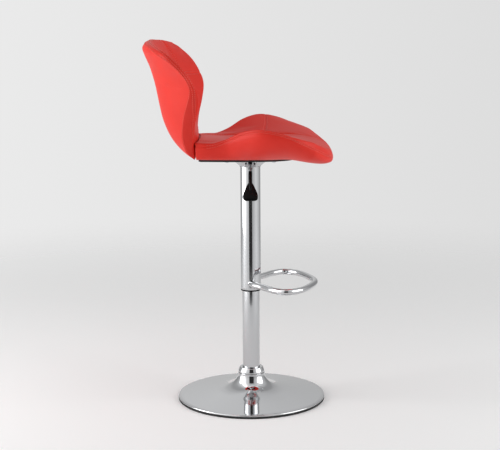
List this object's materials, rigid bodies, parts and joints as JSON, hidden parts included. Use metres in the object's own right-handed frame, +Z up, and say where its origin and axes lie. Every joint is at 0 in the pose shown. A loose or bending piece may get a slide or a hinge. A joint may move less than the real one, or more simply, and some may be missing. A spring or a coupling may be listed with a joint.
{
  "type": "counter stool",
  "caption": "Swivelling counter stool: winged two-pad red leatherette seat and low back on a chrome gas-lift column, with a loop footrest, release lever and trumpet foot.",
  "frame": {"origin": "on the column's axis, at the underside of the foot's bottom cover, 1 mm above the floor: row zero is the floor itself", "axes": "+Z up along the column, +X the way the sitter faces, +Y the sitter's left"},
  "size_m": [0.4828, 0.4774, 0.9401],
  "materials": {
    "chrome": "bright chrome plate",
    "cast_weight": "raw casting",
    "dark_steel": "black paint",
    "zinc_steel": "zinc plate",
    "black_rubber": "matt",
    "gloss_black_plastic": "glossy moulding",
    "black_plastic": "matt moulding",
    "pale_nylon": "plain moulding",
    "plywood": "black stain",
    "lining_cloth": "thin non-woven cloth",
    "red_upholstery": "smooth leatherette with stitched seams"
  },
  "bodies": {
    "base": {"base_dish": "chrome", "floor_ring": "black_rubber", "bottom_cover": "black_plastic", "ballast_plate": "cast_weight", "base_collar": "chrome", "column_socket": "dark_steel", "lower_tube": "chrome", "tube_end_plate": "dark_steel", "thrust_washer_lower": "zinc_steel", "thrust_bearing": "zinc_steel", "guide_bush": "pale_nylon"},
    "lift_rod": {"piston_rod": "chrome", "piston": "zinc_steel", "retaining_clip": "zinc_steel", "rubber_buffer": "black_rubber", "thrust_washer_upper": "zinc_steel"},
    "seat_carriage": {"gas_cylinder": "dark_steel", "cylinder_gland": "black_rubber", "upper_tube": "chrome", "tube_end_ring": "gloss_black_plastic", "taper_socket": "dark_steel", "footrest_loop": "chrome", "neck_flare": "chrome", "neck_screw_left": "black_plastic", "neck_screw_right": "black_plastic", "lever_bracket": "zinc_steel", "lever_pin": "zinc_steel", "back_spine": "dark_steel", "spine_screw_left": "zinc_steel", "spine_screw_right": "zinc_steel", "seat_board": "plywood", "bottom_lining": "lining_cloth", "seat_plate": "dark_steel", "plate_bolt_1": "zinc_steel", "plate_bolt_2": "zinc_steel", "plate_bolt_3": "zinc_steel", "plate_bolt_4": "zinc_steel", "t_nut_1": "zinc_steel", "t_nut_2": "zinc_steel", "t_nut_3": "zinc_steel", "t_nut_4": "zinc_steel", "seat_pad": "red_upholstery", "back_pad": "red_upholstery"},
    "lever": {"release_lever": "zinc_steel", "lever_handle": "gloss_black_plastic"},
    "valve": {"valve_pin": "zinc_steel"}
  },
  "joints": [
    {"name": "swivel", "type": "hinge", "parent": "base", "child": "lift_rod", "pos_m": [0, 0, 0], "axis": [0, 0, 1], "continuous": true},
    {"name": "lift", "type": "slide", "parent": "lift_rod", "child": "seat_carriage", "axis": [0, 0, 1], "range_m": [-0.195, 0]},
    {"name": "lever_pull", "type": "hinge", "parent": "seat_carriage", "child": "lever", "pos_m": [0, -0.0155, 0.6249], "axis": [-1, 0, 0], "range_deg": [0, 8], "stiffness_Nm_per_rad": 1.2, "springref_deg": -22.92},
    {"name": "valve_press", "type": "slide", "parent": "seat_carriage", "child": "valve", "axis": [0, 0, -1], "range_m": [0, 0.0026]}
  ],
  "couplings": [
    {"joint": "valve_press", "follows": "lever_pull", "m_per_rad": 0.018}
  ]
}
